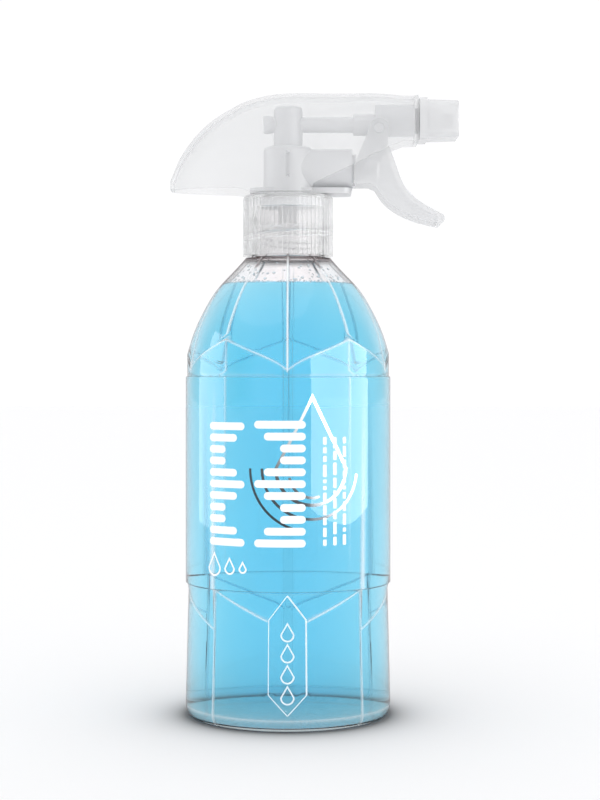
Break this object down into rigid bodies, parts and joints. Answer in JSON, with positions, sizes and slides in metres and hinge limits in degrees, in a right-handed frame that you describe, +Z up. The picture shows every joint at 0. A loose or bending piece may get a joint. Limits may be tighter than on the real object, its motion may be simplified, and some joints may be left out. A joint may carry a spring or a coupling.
{
  "type": "trigger spray bottle",
  "caption": "Clear faceted spray bottle of blue clay lubricant with a ribbed screw collar, dip tube and translucent trigger pump.",
  "frame": {"origin": "middle of the bottle's flat foot, on the neck's axis, on the surface it stands on", "axes": "+Z up along the bottle's axis, +X the way the nozzle points, -Y the printed front"},
  "size_m": [0.0986, 0.0704, 0.2128],
  "materials": {
    "clear_pet": "clear, polished mould, glossy",
    "blue_liquid": "clear blue watery liquid",
    "clear_ribbed": "clear natural polypropylene, glossy",
    "foam_seal": "white closed-cell foam, matte",
    "natural_pp": "natural polypropylene, milky, satin",
    "clear_tube": "clear polyethylene tube, satin",
    "steel_ball": "polished stainless steel",
    "soft_seal": "natural soft polyethylene, matte",
    "spring_steel": "drawn stainless wire",
    "clear_lever": "clear polypropylene, glossy",
    "frosted_cover": "clear polypropylene, slightly milky",
    "frosted_nozzle": "milky polypropylene, satin with glossy edges"
  },
  "bodies": {
    "bottle": {"bottle": "clear_pet", "lubricant": "blue_liquid"},
    "head": {"pump_body": "natural_pp", "shroud": "frosted_cover", "tube_retainer": "natural_pp", "neck_gasket": "foam_seal", "dip_tube": "clear_tube", "stem_cap": "natural_pp", "rear_plug": "natural_pp", "spinner": "natural_pp", "outlet_spring": "spring_steel", "return_spring": "spring_steel"},
    "collar": {"closure_collar": "clear_ribbed"},
    "trigger": {"trigger": "clear_lever"},
    "piston": {"piston": "natural_pp", "piston_seal": "soft_seal"},
    "inlet_ball": {"inlet_ball": "steel_ball"},
    "outlet_valve": {"outlet_valve": "soft_seal"},
    "nozzle": {"nozzle_cap": "frosted_nozzle", "nozzle_seal": "soft_seal", "orifice_insert": "natural_pp"}
  },
  "joints": [
    {"name": "head_rise", "type": "slide", "parent": "bottle", "child": "head", "axis": [0, 0, 1], "range_m": [0, 0.00634]},
    {"name": "collar_turn", "type": "hinge", "parent": "head", "child": "collar", "pos_m": [0, 0, 0.168], "axis": [0, 0, 1], "range_deg": [0, 540]},
    {"name": "trigger_squeeze", "type": "hinge", "parent": "head", "child": "trigger", "pos_m": [0.031, 0, 0.2005], "axis": [0, 1, 0], "range_deg": [0, 27], "stiffness_Nm_per_rad": 0.3, "springref_deg": -17.19},
    {"name": "piston_stroke", "type": "slide", "parent": "head", "child": "piston", "axis": [-1, 0, 0], "range_m": [0, 0.00636], "deforming": ["return_spring"]},
    {"name": "inlet_ball_lift", "type": "slide", "parent": "head", "child": "inlet_ball", "axis": [0, 0, 1], "range_m": [0, 0.0015]},
    {"name": "outlet_valve_lift", "type": "slide", "parent": "head", "child": "outlet_valve", "axis": [0, 0, 1], "range_m": [0, 0.001], "stiffness_N_per_m": 40, "springref_m": -0.002, "deforming": ["outlet_spring"]},
    {"name": "nozzle_turn", "type": "hinge", "parent": "head", "child": "nozzle", "pos_m": [0.05, 0, 0.204], "axis": [1, 0, 0], "continuous": true}
  ],
  "couplings": [
    {"joint": "collar_turn", "follows": "head_rise", "rad_per_m": 1485.4},
    {"joint": "trigger_squeeze", "follows": "piston_stroke", "rad_per_m": 74.074}
  ]
}
